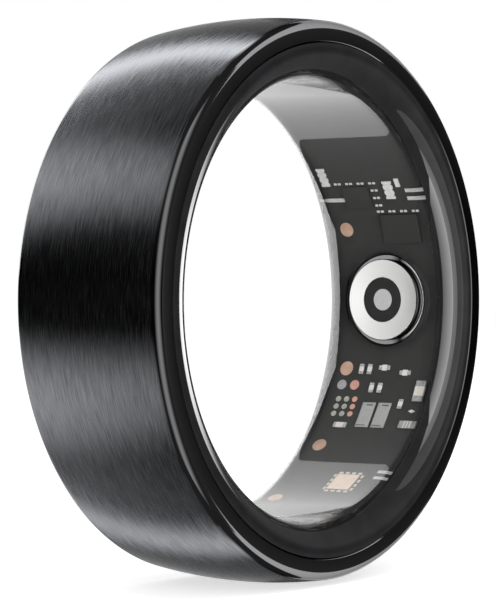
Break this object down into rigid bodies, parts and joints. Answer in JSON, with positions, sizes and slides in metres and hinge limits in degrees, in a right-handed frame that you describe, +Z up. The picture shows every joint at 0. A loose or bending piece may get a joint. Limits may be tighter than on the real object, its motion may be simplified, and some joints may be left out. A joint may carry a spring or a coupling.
{
  "type": "smart ring",
  "caption": "Finger ring with a black metal band, a clear resin lining over a curved circuit board, and a round optical sensor that looks into the finger hole.",
  "frame": {"origin": "centre of the finger hole, halfway along its width", "axes": "+Y along the finger hole, +X from the centre to the sensor, +Z up as the ring stands"},
  "size_m": [0.0254, 0.0078, 0.0254],
  "materials": {
    "black_metal": "black PVD, brushed round the crown, polished edges",
    "clear_resin": "clear smoky epoxy, polished",
    "black_resin": "black potting resin",
    "board": "black solder mask on polyimide",
    "steel": "fine turned and polished",
    "base_steel": "polished",
    "dark_window": "tinted filter",
    "diffuser": "milky light guide",
    "sensor_package": "moulded package",
    "gasket": "black silicone",
    "chip_mould": "moulded epoxy",
    "solder": "bright tin",
    "gilt_lid": "pale gold plate",
    "pale_pads": "tinned",
    "grey_can": "matt nickel",
    "ceramic": "fired ceramic",
    "chip_end_metal": "tin plate",
    "cream_ceramic": "fired ceramic",
    "end_metal": "tin plate",
    "ferrite_body": "glazed ferrite",
    "white_ceramic": "glazed ceramic",
    "copper_pad": "bare copper with a pink tint",
    "tin_pad": "matt tin",
    "red_copper_pad": "bare copper",
    "program_pad": "tinned copper",
    "spring_metal": "silver plate",
    "cell_pouch": "black laminated foil pouch",
    "nickel": "dull nickel strip",
    "polyimide": "black polyimide tape",
    "ferrite": "ferrite sheet",
    "coil_film": "black polyimide film",
    "copper": "etched copper under a dark coverlay"
  },
  "bodies": {
    "root": {"outer_shell": "black_metal", "inner_liner": "clear_resin", "backfill_resin": "black_resin", "flex_board": "board", "sensor_bezel": "steel", "sensor_base": "base_steel", "sensor_window": "dark_window", "light_guide": "diffuser", "sensor_module": "sensor_package", "sensor_gasket": "gasket", "controller_chip": "chip_mould", "radio_chip": "chip_mould", "chip_solder": "solder", "motion_sensor": "gilt_lid", "motion_pads": "pale_pads", "crystal_pair": "grey_can", "chip_bodies": "ceramic", "chip_ends": "chip_end_metal", "resistor_body": "ceramic", "resistor_ends": "chip_end_metal", "reservoir_body": "cream_ceramic", "reservoir_ends": "end_metal", "inductor_body": "ferrite_body", "inductor_ends": "end_metal", "zener_diode": "white_ceramic", "chip_antenna": "white_ceramic", "band_filter": "white_ceramic", "matching_coil": "white_ceramic", "test_pads": "copper_pad", "ground_pad": "tin_pad", "supply_pad": "red_copper_pad", "program_pads": "program_pad", "near_tabs": "spring_metal", "far_tab": "spring_metal", "battery_cell": "cell_pouch", "battery_tabs": "nickel", "cell_insulator": "polyimide", "ferrite_sheet": "ferrite", "coil_film": "coil_film", "charging_coil": "copper"}
  },
  "joints": []
}
